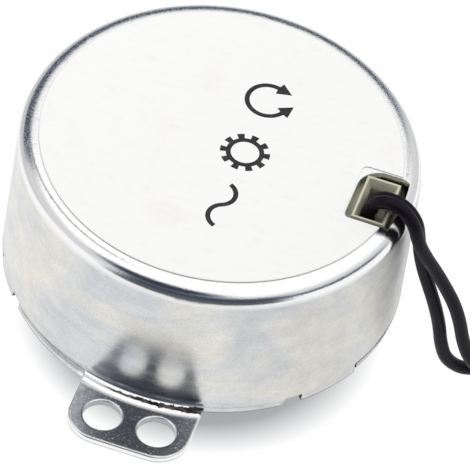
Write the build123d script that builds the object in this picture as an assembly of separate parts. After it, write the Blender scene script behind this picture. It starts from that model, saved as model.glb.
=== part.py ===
from build123d import *
import os
from math import acos, asin, atan, atan2, cos, degrees, pi, radians, sin, sqrt, tan

# Synchronous gear motor: a drawn steel can with two mounting ears, closed end up.
# A claw-pole stator and a ring-magnet rotor drive a four-stage gear train, whose D-cut shaft points down.
# Frame: shaft axis on Z, Z = 0 at the underside of the ears, one ear towards -Y. Sizes in millimetres.

# Can
can_radius = 25.0
can_height = 21.3
sheet = 0.9
can_corner = 2.1

# Ears, bent out of the can's rim
ear_hole_radius = 2.4
ear_hole_spacing = 7.0
ear_hole_offset = 5.0
ear_side_margin = 1.85
ear_end_margin = 4.2
ear_corner = 4.2
ear_bend = 0.9
ear_edge = 0.25

# Rim: notches, stakes over the cover, and trim lips beside the ears
notch_height = 1.1
wide_notch_angle = -46.4
wide_notch_width = 3.0
wide_notch_slant = 0.8
narrow_notch_angle = -141.0
narrow_notch_width = 2.1
narrow_notch_slant = 0.3
stake_angle = 5.0
stake_gap_angle = 0.6
stake_reach = 0.8
cover_recess = 0.4
lip_height = 0.6
lip_reach = 0.6
lip_overlap_angle = 0.6

# Terminal opening in the closed end, by its margins round the tower
opening_inner_margin = 0.8
opening_low_margin = 0.45
opening_high_margin = 1.05
opening_rim = 1.4
opening_square_corner = 0.7
opening_round_corner = 3.0

# Rating label
label_rim = 2.3
label_thickness = 0.12
label_cut_margin = 0.2
label_cut_corner = 0.8

# Claw poles
pole_count = 12
pole_root_share = 0.34
pole_tip_share = 0.053
pole_tip_gap = 1.3
pole_window_web = 0.9

# Front cover and shaft bush
cover_thickness = 0.8
lug_half_angle = 22.6
lug_end_angle = 0.8
lug_edge = 0.25
bush_wall = 1.4
bush_flange_width = 1.2
bush_flange_thickness = 0.8
bush_rise = 1.0

# Gear plate and posts
plate_clearance = 0.6
plate_hole_gap = 0.45
post_count = 3
post_radius = 1.5
post_tenon_radius = 0.9
post_wall_gap = 0.2

# Coil
bobbin_wall = 0.8
bobbin_flange_gap = 0.8
winding_inset = 0.9
winding_depth = 8.48
tape_thickness = 0.2
terminal_space = 2.6

# Terminal tower of the bobbin
tower_inset = 4.65
tower_y = -0.95
tower_length_x = 4.3
tower_length_y = 7.3
tower_wall = 0.75
tower_drop = 0.1
tower_mouth = 0.45
tower_mouth_depth = 1.2
plinth_margin_x = 0.9
plinth_margin_y = 0.4
plinth_drop = 0.4
terminal_pin_radius = 0.4
terminal_pin_rise = 1.0
terminal_pitch = 1.8
terminal_shift = -0.4

# Rotor
air_gap = 0.5
magnet_wall = 3.5
rotor_gap = 0.6
rotor_headroom = 0.7
hub_sleeve_radius = 2.6
hub_web = 2.0
centre_pin_radius = 1.0
clip_width = 0.75
clip_thickness = 0.25
washer_thickness = 0.2

# Gear train: teeth of each pinion and wheel, and the room for the first wheel, which sets the two modules
pinion_teeth = 12
coarse_wheel_teeth = 36
fine_wheel_teeth = 40
wheel_wall_gap = 2.75
module_step = 0.05
pressure_angle = radians(20.0)
addendum = 1.0
dedendum = 1.25
profile_shift = 0.3
backlash = 0.16
gear_face = 1.6
layer_gap = 0.5
output_gear_gap = 0.3
pinion_overrun = 0.15
gear_hub_radius = 1.5
web_recess = 0.35
web_margin = 1.0
axle_radius = 0.75
neck_gap = 0.36
second_axle_angle = 225.0

# Output shaft
shaft_radius = 3.5
shaft_step = 0.5
shaft_shoulder = 0.1
shaft_length = 10.0
shaft_flat_depth = 0.6
shaft_neck_wall = 0.67
shaft_bore_depth = 6.5
shaft_chamfer = 0.3

# Fits
running_fit = 0.03
press_gap = 0.02
seat_gap = 0.1

# Leads
lead_radius = 0.85
lead_end_radius = 0.45
lead_end_length = 5.0
lead_corner_share = 0.45

# Sizes that follow from the ones above
inner_radius = can_radius - sheet
ceiling = can_height - sheet
ear_width = ear_hole_spacing + 2 * (ear_hole_radius + ear_side_margin)
ear_hole_radial = can_radius + ear_hole_offset
ear_reach = ear_hole_radial + ear_end_margin
ear_half_angle = degrees(asin(ear_width / (2 * can_radius)))
wide_notch_half_angle = degrees(wide_notch_width / (2 * can_radius))
narrow_notch_half_angle = degrees(narrow_notch_width / (2 * can_radius))
lip_start = narrow_notch_angle + narrow_notch_half_angle
lip_end = -90.0 - ear_half_angle + lip_overlap_angle
cover_bottom = cover_recess
cover_top = cover_bottom + cover_thickness
shaft_journal_radius = shaft_radius + shaft_step
shaft_neck_radius = centre_pin_radius + running_fit + shaft_neck_wall
bush_radius = shaft_journal_radius + bush_wall
bush_flange_radius = bush_radius + bush_flange_width
bush_bottom = cover_bottom - press_gap - bush_flange_thickness
bush_top = cover_top + bush_rise
shaft_shoulder_z = bush_bottom - shaft_shoulder
first_wheel_reach = pinion_teeth / 2 + coarse_wheel_teeth + addendum - profile_shift
coarse_module = (inner_radius - wheel_wall_gap) / first_wheel_reach
fine_module = coarse_module - module_step
coarse_distance = coarse_module * (pinion_teeth + coarse_wheel_teeth) / 2
fine_distance = fine_module * (pinion_teeth + fine_wheel_teeth) / 2
first_layer = bush_top + washer_thickness + output_gear_gap
layers = [first_layer + (gear_face + layer_gap) * level for level in range(4)]
plate_height = layers[3] + gear_face + plate_clearance
plate_top = plate_height + sheet
plate_hole_radius = coarse_module * (pinion_teeth / 2 + addendum + profile_shift) + plate_hole_gap
pole_window_inner = plate_hole_radius + pole_window_web
pole_length = ceiling - plate_top - pole_tip_gap
post_circle_radius = inner_radius - post_radius - post_wall_gap
bobbin_bottom = plate_top + seat_gap
bobbin_top = ceiling - seat_gap
bobbin_flange_radius = inner_radius - bobbin_flange_gap
winding_radius = bobbin_flange_radius - winding_inset
bobbin_tube_radius = winding_radius - winding_depth - press_gap
bobbin_inner_radius = bobbin_tube_radius - bobbin_wall
pole_inner_radius = bobbin_inner_radius - sheet - 2 * seat_gap
pole_pitch = 2 * pole_inner_radius * sin(pi / (2 * pole_count))
pole_root_width = pole_root_share * pole_pitch
pole_tip_width = pole_tip_share * pole_pitch
coil_bottom = bobbin_bottom + bobbin_wall
deck_top = bobbin_top - terminal_space
coil_top = deck_top - bobbin_wall
tower_x0 = can_radius - tower_inset - tower_length_x / 2
tower_x1 = tower_x0 + tower_length_x
tower_y0 = tower_y - tower_length_y / 2
tower_y1 = tower_y0 + tower_length_y
terminal_x = tower_x0 + tower_wall + lead_radius + seat_gap
front_terminal_y = tower_y + terminal_shift - terminal_pitch / 2
rear_terminal_y = front_terminal_y + terminal_pitch
opening_inner_x = tower_x0 - opening_inner_margin
opening_low_y = tower_y0 - opening_low_margin
opening_high_y = tower_y1 + opening_high_margin


def polar(radius, angle):
    return Vector(radius * cos(radians(angle)), radius * sin(radians(angle)), 0)


def disc(radius, bottom, top, at=(0, 0)):
    solid = Cylinder(radius, top - bottom, align=(Align.CENTER, Align.CENTER, Align.MIN))
    return Pos(at[0], at[1], bottom) * solid


def ring(inner, outer, bottom, top, at=(0, 0)):
    return disc(outer, bottom, top, at) - disc(inner, bottom, top, at)


def block(x0, x1, y0, y1, z0, z1):
    return Pos((x0 + x1) / 2, (y0 + y1) / 2, (z0 + z1) / 2) * Box(x1 - x0, y1 - y0, z1 - z0)


def sector(inner, outer, start, end, bottom, top):
    middle = (start + end) / 2
    outline = Wire([
        Line(polar(inner, start), polar(outer, start)),
        ThreePointArc(polar(outer, start), polar(outer, middle), polar(outer, end)),
        Line(polar(outer, end), polar(inner, end)),
        ThreePointArc(polar(inner, end), polar(inner, middle), polar(inner, start)),
    ])
    return Pos(0, 0, bottom) * extrude(Face(outline), top - bottom)


def both_sides(solid):
    return [solid, Rot(0, 0, 180) * solid]


def spoke_angles(offset):
    return [offset + 360.0 * index / pole_count for index in range(pole_count)]


def pole_tooth(angle, root, tip):
    # One bent tooth: a trapezoid plate standing square to its radius
    rise = tip - root
    plane = Plane(origin=(pole_inner_radius, 0, root), x_dir=(0, 1, 0), z_dir=(1, 0, 0))
    half_root = pole_root_width / 2
    half_tip = pole_tip_width / 2
    outline = Polyline((-half_root, 0), (half_root, 0), (half_tip, rise), (-half_tip, rise), close=True)
    tooth = extrude(plane * make_face(outline), sheet)
    return Rot(0, 0, angle) * tooth


def pole_window(angle, bottom, top):
    # The slot that a bent tooth leaves behind in its sheet
    half_root = pole_root_width / 2
    half_tip = pole_tip_width / 2
    inner = pole_window_inner
    outer = pole_inner_radius
    outline = Polyline(
        (inner, -half_tip), (outer, -half_root), (outer, half_root), (inner, half_tip), close=True,
    )
    return Rot(0, 0, angle) * Pos(0, 0, bottom) * extrude(make_face(outline), top - bottom)


# Gears: involute flanks, each drawn as one arc through three of its points
def involute_angle(radius, base):
    roll = sqrt(max((radius / base) ** 2 - 1.0, 0.0))
    return roll - atan(roll)


def gear_outline(teeth, module, shift, phase):
    pitch = module * teeth / 2
    base = pitch * cos(pressure_angle)
    tip = pitch + module * (addendum + shift)
    root = pitch - module * (dedendum - shift)
    start = max(base, root)
    tooth_width = module * (pi / 2 + 2 * shift * tan(pressure_angle)) - backlash / 2
    half_at_base = tooth_width / (2 * pitch) + involute_angle(pitch, base)
    radii = (start, (start + tip) / 2, tip)
    halves = [degrees(half_at_base - involute_angle(radius, base)) for radius in radii]
    step = 360.0 / teeth
    edges = []
    for index in range(teeth):
        middle = phase + step * index
        low = [polar(radius, middle - half) for radius, half in zip(radii, halves)]
        high = [polar(radius, middle + half) for radius, half in zip(radii, halves)]
        foot = polar(root, middle - halves[0])
        next_foot = polar(root, middle + halves[0])
        after = polar(root, middle + step - halves[0])
        edges.append(Line(foot, low[0]))
        edges.append(ThreePointArc(*low))
        edges.append(Line(low[2], high[2]))
        edges.append(ThreePointArc(high[2], high[1], high[0]))
        edges.append(Line(high[0], next_foot))
        edges.append(Line(next_foot, after))
    return Face(Wire(edges))


def gear(teeth, module, shift, phase, bottom, top, at):
    return Pos(at.X, at.Y, bottom) * extrude(gear_outline(teeth, module, shift, phase), top - bottom)


def mating_phase(phase, teeth, direction, next_teeth):
    # Turns the next gear so that a gap of it faces the tooth that comes to it
    return direction + 180.0 + (180.0 - (phase - direction) * teeth) / next_teeth


def heading(start, end):
    return degrees(atan2(end.Y - start.Y, end.X - start.X))


# Axles: the second wheel just clears the neck of the shaft, and the other two stand either side of it
second_wheel_tip = fine_module * (fine_wheel_teeth / 2 + addendum - profile_shift)
second_axle_circle = second_wheel_tip + shaft_neck_radius + neck_gap
axle_triangle = coarse_distance ** 2 + second_axle_circle ** 2 - fine_distance ** 2
axle_angle = degrees(acos(axle_triangle / (2 * coarse_distance * second_axle_circle)))
first_axle_angle = second_axle_angle - axle_angle
middle_point = Vector(0, 0, 0)
axle_points = [
    polar(coarse_distance, first_axle_angle),
    polar(second_axle_circle, second_axle_angle),
    polar(coarse_distance, second_axle_angle + axle_angle),
]
post_angles = [first_axle_angle + axle_angle / 2 + 360.0 * index / post_count for index in range(post_count)]


def axle_bores(solid, bottom, top, radius):
    for point in axle_points:
        solid -= disc(radius, bottom, top, (point.X, point.Y))
    return solid


def post_bores(solid, bottom, top, radius):
    for angle in post_angles:
        point = polar(post_circle_radius, angle)
        solid -= disc(radius, bottom, top, (point.X, point.Y))
    return solid


# Can
def opening_outline():
    width = can_radius - opening_inner_x
    depth = opening_high_y - opening_low_y
    sketch = Pos(opening_inner_x, opening_low_y) * Rectangle(width, depth, align=(Align.MIN, Align.MIN))
    corners = sketch.vertices().group_by(Axis.X)[0].sort_by(Axis.Y)
    sketch = fillet(corners[0], opening_square_corner)
    sketch = fillet(sketch.vertices().group_by(Axis.Y)[-1], opening_round_corner)
    return sketch & Circle(can_radius - opening_rim)


def ear_plate():
    # The bent sheet as a turned strip, trimmed to the ear's outline
    bend_centre = (can_radius + ear_bend, sheet + ear_bend)
    far = ear_reach + sheet
    diagonal = cos(radians(45.0))
    inside = ear_bend + sheet
    inside_middle = (bend_centre[0] - inside * diagonal, bend_centre[1] - inside * diagonal)
    outside_middle = (bend_centre[0] - ear_bend * diagonal, bend_centre[1] - ear_bend * diagonal)
    strip = make_face([
        ThreePointArc((inner_radius, bend_centre[1]), inside_middle, (bend_centre[0], 0)),
        Line((bend_centre[0], 0), (far, 0)),
        Line((far, 0), (far, sheet)),
        Line((far, sheet), (bend_centre[0], sheet)),
        ThreePointArc((bend_centre[0], sheet), outside_middle, (can_radius, bend_centre[1])),
        Line((can_radius, bend_centre[1]), (inner_radius, bend_centre[1])),
    ])
    turned = revolve(Plane.XZ * strip, Axis.Z, 4 * ear_half_angle)
    turned = Rot(0, 0, -90.0 - 2 * ear_half_angle) * turned
    outline = Pos(0, -ear_reach) * Rectangle(ear_width, ear_reach, align=(Align.CENTER, Align.MIN))
    outline = fillet(outline.vertices().group_by(Axis.Y)[0], ear_corner)
    for side in (-0.5, 0.5):
        outline -= Pos(side * ear_hole_spacing, -ear_hole_radial) * Circle(ear_hole_radius)
    ear = turned & extrude(outline, can_height)
    rim = ear.edges().filter_by_position(Axis.Z, sheet, sheet)
    rim = [edge for edge in rim if (edge @ 0.5).Y < -can_radius - 2 * ear_bend]
    return fillet(rim, ear_edge)


def trim_lip():
    # What the trimmed flange leaves beside an ear, widening towards it
    middle = (lip_start + lip_end) / 2
    outline = make_face([
        ThreePointArc(
            polar(can_radius, lip_start),
            polar(can_radius + lip_reach / 2, middle),
            polar(can_radius + lip_reach, lip_end),
        ),
        Line(polar(can_radius + lip_reach, lip_end), polar(can_radius - sheet / 2, lip_end)),
        ThreePointArc(
            polar(can_radius - sheet / 2, lip_end),
            polar(can_radius - sheet / 2, middle),
            polar(can_radius - sheet / 2, lip_start),
        ),
        Line(polar(can_radius - sheet / 2, lip_start), polar(can_radius, lip_start)),
    ])
    return extrude(outline, lip_height)


def rim_notch(angle, width, slant):
    # A notch open to the rim's edge, with one slanting side, cut along its own radius
    half = width / 2
    outline = Polyline(
        (-half, -sheet), (half, -sheet), (half, notch_height),
        (slant - half, notch_height), (-half, 0), close=True,
    )
    plane = Plane(origin=(inner_radius - sheet, 0, 0), x_dir=(0, 1, 0), z_dir=(1, 0, 0))
    return Rot(0, 0, angle) * extrude(plane * make_face(outline), 3 * sheet)


def motor_can():
    outer = disc(can_radius, 0, can_height)
    outer = fillet(outer.edges().sort_by(Axis.Z)[-1], can_corner)
    hollow = disc(inner_radius, -sheet, ceiling)
    hollow = fillet(hollow.edges().sort_by(Axis.Z)[-1], can_corner - sheet)
    can = outer - hollow
    ear = ear_plate()
    bend_top = sheet + ear_bend
    ear_gap = block(-ear_width / 2, ear_width / 2, -can_radius - sheet, -can_radius / 2, -sheet, bend_top)
    for gap in both_sides(ear_gap):
        can -= gap
    for lip in both_sides(trim_lip()):
        can += lip
    for side in both_sides(ear):
        can += side
    wide_notch = rim_notch(wide_notch_angle, wide_notch_width, wide_notch_slant)
    narrow_notch = rim_notch(narrow_notch_angle, narrow_notch_width, narrow_notch_slant)
    for notch in both_sides(wide_notch) + both_sides(narrow_notch):
        can -= notch
    lug_seat = sector(
        inner_radius - sheet, can_radius + sheet,
        -lug_half_angle - lug_end_angle, lug_half_angle + lug_end_angle, -sheet, cover_top + seat_gap,
    )
    for seat in both_sides(lug_seat):
        can -= seat
    wide_stake_start = wide_notch_angle + wide_notch_half_angle + stake_gap_angle
    narrow_stake_start = narrow_notch_angle - narrow_notch_half_angle - stake_gap_angle - stake_angle
    for start in (wide_stake_start, narrow_stake_start):
        stake = sector(
            inner_radius - stake_reach, can_radius - sheet / 2,
            start, start + stake_angle, 0, cover_recess - press_gap,
        )
        for side in both_sides(stake):
            can += side
    can -= Pos(0, 0, ceiling - can_corner) * extrude(opening_outline(), can_corner + sheet + can_corner)
    can -= disc(centre_pin_radius + press_gap, ceiling - sheet, can_height + sheet)
    for angle in spoke_angles(0.0):
        can -= pole_window(angle, ceiling - sheet, can_height + sheet)
        can += pole_tooth(angle, ceiling, ceiling - pole_length)
    return can


def rating_label():
    label = disc(can_radius - label_rim, can_height, can_height + label_thickness)
    x0 = opening_inner_x - label_cut_margin
    y0 = opening_low_y - label_cut_margin
    y1 = opening_high_y + label_cut_margin
    cut = Pos(x0, y0) * Rectangle(can_radius - x0, y1 - y0, align=(Align.MIN, Align.MIN))
    cut = fillet(cut.vertices().group_by(Axis.X)[0], label_cut_corner)
    return label - Pos(0, 0, can_height - sheet) * extrude(cut, 2 * sheet)


# Front cover, bush, gear plate and posts
def front_cover():
    cover = disc(inner_radius - press_gap, cover_bottom, cover_top)
    lug = sector(
        inner_radius - sheet, can_radius, -lug_half_angle, lug_half_angle, cover_bottom, cover_top,
    )
    outer_edges = [edge for edge in lug.edges() if (edge @ 0.5).X > inner_radius]
    lug = fillet(outer_edges, lug_edge)
    for side in both_sides(lug):
        cover += side
    cover -= disc(bush_radius + press_gap, 0, plate_height)
    cover = axle_bores(cover, 0, plate_height, axle_radius + press_gap)
    return post_bores(cover, 0, plate_height, post_tenon_radius + press_gap)


def shaft_bush():
    bush = disc(bush_radius, 0, bush_top)
    bush += disc(bush_flange_radius, bush_bottom, cover_bottom - press_gap)
    return bush - disc(shaft_journal_radius + running_fit, -shaft_length, plate_height)


def gear_plate():
    plate = disc(inner_radius - press_gap, plate_height, plate_top)
    plate -= disc(plate_hole_radius, 0, can_height)
    plate = axle_bores(plate, 0, can_height, axle_radius + press_gap)
    plate = post_bores(plate, 0, can_height, post_tenon_radius + press_gap)
    for angle in spoke_angles(180.0 / pole_count):
        plate -= pole_window(angle, 0, can_height)
        plate += pole_tooth(angle, plate_top, plate_top + pole_length)
    return plate


def spacer_posts():
    posts = []
    for angle in post_angles:
        point = polar(post_circle_radius, angle)
        at = (point.X, point.Y)
        post = disc(post_radius, cover_top, plate_height, at)
        post += disc(post_tenon_radius, cover_bottom, plate_top, at)
        posts.append(post)
    return Compound(posts)


# Coil
def coil_bobbin():
    bobbin = disc(bobbin_tube_radius, bobbin_bottom, bobbin_top)
    bobbin += disc(bobbin_flange_radius, bobbin_bottom, coil_bottom)
    bobbin += disc(bobbin_flange_radius, coil_top, deck_top)
    plinth = block(
        tower_x0 - plinth_margin_x, tower_x1,
        tower_y0 - plinth_margin_y, tower_y1 + plinth_margin_y, coil_top, ceiling - plinth_drop,
    )
    bobbin += plinth & disc(bobbin_flange_radius, 0, can_height)
    bobbin += block(tower_x0, tower_x1, tower_y0, tower_y1, coil_top, can_height - tower_drop)
    bobbin -= block(
        tower_x0 + tower_wall, tower_x1 - tower_wall,
        tower_y0 + tower_wall, tower_y1 - tower_wall, deck_top, can_height + sheet,
    )
    tower_top = bobbin.faces().sort_by(Axis.Z)[-1]
    bobbin = chamfer(tower_top.inner_wires()[0].edges(), tower_mouth, tower_mouth_depth, reference=tower_top)
    for y in (front_terminal_y, rear_terminal_y):
        bobbin -= disc(terminal_pin_radius + press_gap, 0, can_height, (terminal_x, y))
    return bobbin - disc(bobbin_inner_radius, 0, can_height)


def coil_winding():
    return ring(bobbin_tube_radius + press_gap, winding_radius, coil_bottom + press_gap, coil_top - press_gap)


def coil_tape():
    inner = winding_radius + press_gap
    return ring(inner, inner + tape_thickness, coil_bottom + press_gap, coil_top - press_gap)


def terminal_pins():
    pins = []
    for y in (front_terminal_y, rear_terminal_y):
        pins.append(disc(terminal_pin_radius, coil_top, lead_start, (terminal_x, y)))
    return Compound(pins)


# Leads: straight runs joined by arcs, each as large as its two runs allow
lead_start = deck_top + terminal_pin_rise
floor_line = -shaft_length + lead_radius + seat_gap
front_points = [
    (terminal_x, front_terminal_y, lead_start),
    (terminal_x, -2.6, 21.9),
    (21.7, -3.1, 23.9),
    (24.3, -3.45, 23.9),
    (26.1, -3.8, 22.0),
    (26.95, -3.75, 19.2),
    (28.0, -2.9, 16.3),
    (29.4, -1.85, 13.2),
    (30.9, -1.0, 9.9),
    (32.3, -0.3, 6.6),
    (33.3, 0.2, 3.2),
    (34.0, 0.6, -0.3),
    (35.3, 1.4, -4.2),
    (38.0, 3.0, -7.9),
    (42.0, 5.6, floor_line),
    (45.2, 10.4, floor_line),
    (46.5, 16.6, floor_line),
    (45.9, 23.4, floor_line),
    (43.7, 30.0, floor_line),
    (40.2, 36.0, floor_line),
    (35.6, 41.2, floor_line),
]
rear_points = [
    (terminal_x, rear_terminal_y, lead_start),
    (terminal_x, -0.5, 20.8),
    (21.6, -1.2, 22.6),
    (24.2, -1.7, 22.65),
    (26.05, -2.05, 20.9),
    (26.6, -1.9, 18.0),
    (27.0, -1.35, 14.8),
    (27.8, -0.85, 11.4),
    (28.9, -0.4, 8.1),
    (29.9, 0.05, 4.8),
    (30.7, 0.55, 1.4),
    (31.2, 1.0, -2.1),
    (32.1, 1.75, -5.6),
    (34.5, 3.6, -8.4),
    (37.8, 6.6, floor_line),
    (40.2, 11.2, floor_line),
    (41.4, 17.0, floor_line),
    (41.0, 23.4, floor_line),
    (39.1, 29.6, floor_line),
    (35.8, 35.2, floor_line),
    (31.6, 40.0, floor_line),
    (27.8, 43.6, floor_line),
]


def corner_radii(points):
    corners = []
    for before, at, after in zip(points, points[1:], points[2:]):
        first = Vector(at) - Vector(before)
        second = Vector(after) - Vector(at)
        turn = radians(first.get_angle(second))
        corners.append(lead_corner_share * min(first.length, second.length) / tan(turn / 2))
    return corners


def lead_path(points):
    return FilletPolyline(*points, radius=corner_radii(points))


def lead_tube(points, name):
    path = lead_path(points)
    section = Plane(origin=path @ 0, z_dir=path % 0) * Circle(lead_radius)
    tube = sweep(section, path)
    expected = pi * lead_radius ** 2 * path.length
    print(name, "length", round(path.length, 2), "volume share", round(tube.volume / expected, 4))
    print(name, "radii", [round(radius, 1) for radius in corner_radii(points)])
    return tube


def lead_ends():
    ends = []
    for points in (front_points, rear_points):
        path = lead_path(points)
        plane = Plane(origin=path @ 1, z_dir=path % 1)
        ends.append(extrude(plane * Circle(lead_end_radius), lead_end_length))
    return Compound(ends)


# Rotor
rotor_bottom = plate_top + rotor_gap
rotor_top = ceiling - rotor_headroom
magnet_outer_radius = pole_inner_radius - air_gap
magnet_inner_radius = magnet_outer_radius - magnet_wall
motor_pinion_bottom = layers[3] - pinion_overrun
hub_top = ceiling - 2 * press_gap - washer_thickness
motor_pinion_phase = first_axle_angle


def rotor_magnet():
    return ring(magnet_inner_radius, magnet_outer_radius, rotor_bottom, rotor_top)


def rotor_hub():
    web_bottom = (rotor_bottom + rotor_top - hub_web) / 2
    hub = disc(magnet_inner_radius - press_gap, web_bottom, web_bottom + hub_web)
    hub += disc(hub_sleeve_radius, plate_top, hub_top)
    hub += gear(
        pinion_teeth, coarse_module, profile_shift, motor_pinion_phase,
        motor_pinion_bottom, plate_top, middle_point,
    )
    return hub - disc(centre_pin_radius + running_fit, 0, can_height)


def centre_pin():
    bottom = shaft_neck_top - shaft_bore_depth + seat_gap
    return disc(centre_pin_radius, bottom, can_height)


def rotor_washer():
    top = ceiling - press_gap
    return ring(centre_pin_radius + press_gap, hub_sleeve_radius, top - washer_thickness, top)


def rotor_clip():
    top = motor_pinion_bottom - press_gap
    return ring(centre_pin_radius + press_gap, centre_pin_radius + clip_width, top - clip_thickness, top)


# Compound gears: wheel in its own layer, pinion one layer below, hub from cover to gear plate
def web_groove(teeth, module, bottom, at):
    root = module * (teeth / 2 - dedendum - profile_shift)
    inner = module * (pinion_teeth / 2 + addendum + profile_shift) + web_margin / 2
    return ring(inner, root - web_margin, bottom, bottom + web_recess, (at.X, at.Y))


def compound_gear(level, wheel_teeth, wheel_module, wheel_phase, pinion_module, pinion_phase, at):
    wheel_bottom = layers[level]
    pinion_bottom = layers[level - 1] - pinion_overrun
    wheel_top = wheel_bottom + gear_face
    solid = gear(wheel_teeth, wheel_module, -profile_shift, wheel_phase, wheel_bottom, wheel_top, at)
    solid -= web_groove(wheel_teeth, wheel_module, wheel_top - web_recess, at)
    solid += gear(pinion_teeth, pinion_module, profile_shift, pinion_phase, pinion_bottom, wheel_bottom, at)
    solid += disc(gear_hub_radius, cover_top + seat_gap, plate_height - seat_gap, (at.X, at.Y))
    return solid - disc(axle_radius + running_fit, 0, can_height, (at.X, at.Y))


pair_directions = [
    heading(middle_point, axle_points[0]),
    heading(axle_points[0], axle_points[1]),
    heading(axle_points[1], axle_points[2]),
    heading(axle_points[2], middle_point),
]
wheel_phases = [
    mating_phase(motor_pinion_phase, pinion_teeth, pair_directions[0], coarse_wheel_teeth),
    mating_phase(pair_directions[1], pinion_teeth, pair_directions[1], fine_wheel_teeth),
    mating_phase(pair_directions[2], pinion_teeth, pair_directions[2], fine_wheel_teeth),
    mating_phase(pair_directions[3], pinion_teeth, pair_directions[3], coarse_wheel_teeth),
]


def gear_axle(point):
    return disc(axle_radius, cover_bottom, plate_top, (point.X, point.Y))


# Output gear and shaft
shaft_neck_top = motor_pinion_bottom - clip_thickness - 2 * press_gap - seat_gap
output_top = layers[0] + gear_face


def output_gear():
    wheel = gear(
        coarse_wheel_teeth, coarse_module, -profile_shift, wheel_phases[3],
        layers[0], output_top, middle_point,
    )
    root = coarse_module * (coarse_wheel_teeth / 2 - dedendum - profile_shift)
    wheel -= ring(shaft_journal_radius + web_margin, root - web_margin, output_top - web_recess, output_top)
    return wheel - disc(shaft_journal_radius + press_gap, 0, can_height)


def output_shaft():
    shaft = disc(shaft_radius, -shaft_length, shaft_shoulder_z)
    shaft = chamfer(shaft.edges().sort_by(Axis.Z)[0], shaft_chamfer)
    shaft -= block(
        -shaft_radius, shaft_radius, -2 * shaft_radius, shaft_flat_depth - shaft_radius,
        -shaft_length, shaft_shoulder_z,
    )
    shaft += disc(shaft_journal_radius, shaft_shoulder_z, output_top)
    shaft += disc(shaft_neck_radius, output_top, shaft_neck_top)
    return shaft - disc(centre_pin_radius + running_fit, shaft_neck_top - shaft_bore_depth, can_height)


def shaft_washer():
    bottom = bush_top + press_gap
    return ring(shaft_journal_radius + running_fit, bush_radius, bottom, bottom + washer_thickness)


node_parts = {
    "motor_can": motor_can(),
    "rating_label": rating_label(),
    "front_cover": front_cover(),
    "shaft_bush": shaft_bush(),
    "gear_plate": gear_plate(),
    "spacer_posts": spacer_posts(),
    "coil_bobbin": coil_bobbin(),
    "coil_winding": coil_winding(),
    "coil_tape": coil_tape(),
    "terminal_pins": terminal_pins(),
    "lead_front": lead_tube(front_points, "lead_front"),
    "lead_rear": lead_tube(rear_points, "lead_rear"),
    "lead_ends": lead_ends(),
    "rotor_magnet": rotor_magnet(),
    "rotor_hub": rotor_hub(),
    "centre_pin": centre_pin(),
    "rotor_washer": rotor_washer(),
    "rotor_clip": rotor_clip(),
    "output_gear": output_gear(),
    "output_shaft": output_shaft(),
    "shaft_washer": shaft_washer(),
}
fine_wheel = (fine_wheel_teeth, fine_module)
wheel_kinds = [(coarse_wheel_teeth, coarse_module), fine_wheel, fine_wheel]
pinion_modules = [fine_module, fine_module, coarse_module]
for index, name in enumerate(("first", "second", "third")):
    node_parts[name + "_gear"] = compound_gear(
        3 - index, *wheel_kinds[index], wheel_phases[index],
        pinion_modules[index], pair_directions[index + 1], axle_points[index],
    )
    node_parts[name + "_axle"] = gear_axle(axle_points[index])

os.makedirs("parts", exist_ok=True)
for name, solid in node_parts.items():
    export_step(solid, f"parts/{name}.step")
    print(name, "solids", len(solid.solids()), "volume", round(solid.volume, 2))
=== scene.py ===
import bmesh
import bpy
from math import cos, pi, radians, sin
from mathutils import Matrix, Vector


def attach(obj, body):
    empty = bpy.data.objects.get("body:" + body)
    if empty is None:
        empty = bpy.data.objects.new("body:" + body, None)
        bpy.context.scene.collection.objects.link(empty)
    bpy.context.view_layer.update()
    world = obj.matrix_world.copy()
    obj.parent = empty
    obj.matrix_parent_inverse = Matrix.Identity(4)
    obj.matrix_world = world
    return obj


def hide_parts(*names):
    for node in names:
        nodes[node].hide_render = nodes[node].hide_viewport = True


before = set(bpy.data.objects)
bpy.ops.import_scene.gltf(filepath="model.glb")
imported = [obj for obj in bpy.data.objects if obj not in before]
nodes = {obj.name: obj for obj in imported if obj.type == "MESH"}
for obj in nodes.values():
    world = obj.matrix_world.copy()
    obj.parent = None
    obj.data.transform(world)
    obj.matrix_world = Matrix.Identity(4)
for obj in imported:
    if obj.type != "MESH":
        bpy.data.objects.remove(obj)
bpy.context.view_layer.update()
print("frame loaded:", len(nodes), "CAD nodes")

# camera, at the angle of the photograph and with its small roll
cameraView = {
    "azimuth": 10.4,
    "elevation": 46.93,
    "roll": 9.74,
    "target": (0.0, 0.0, 0.010),
    "moveRight": 0.002933,
    "moveUp": -0.003363,
    "fieldWidth": 0.05814,
    "lens": 1000,
    "sensor": 36,
    "clip": (0.1, 20),
}
azimuth = radians(cameraView["azimuth"])
elevation = radians(cameraView["elevation"])
roll = radians(cameraView["roll"])
cameraBack = Vector((sin(azimuth) * cos(elevation), -cos(azimuth) * cos(elevation), sin(elevation)))
levelRight = Vector((cos(azimuth), sin(azimuth), 0.0))
levelUp = cameraBack.cross(levelRight)
viewRight = levelRight * cos(roll) + levelUp * sin(roll)
viewUp = levelUp * cos(roll) - levelRight * sin(roll)
lookAt = Vector(cameraView["target"]) + viewRight * cameraView["moveRight"] + viewUp * cameraView["moveUp"]
cameraDistance = cameraView["fieldWidth"] * cameraView["lens"] / cameraView["sensor"]

bpy.ops.object.camera_add(location=lookAt + cameraBack * cameraDistance)
camera = bpy.context.object
camera.name = "photoCamera"
camera.rotation_euler = Matrix((viewRight, viewUp, cameraBack)).transposed().to_euler()
camera.data.lens = cameraView["lens"]
camera.data.sensor_width = cameraView["sensor"]
camera.data.clip_start, camera.data.clip_end = cameraView["clip"]
bpy.context.scene.camera = camera
print("camera placed", round(cameraDistance, 3), "m away")


# small helpers for shader trees
levelPart = (1.0, 1.0, 0.0)  # times a vector, leaves its X and Y


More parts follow.
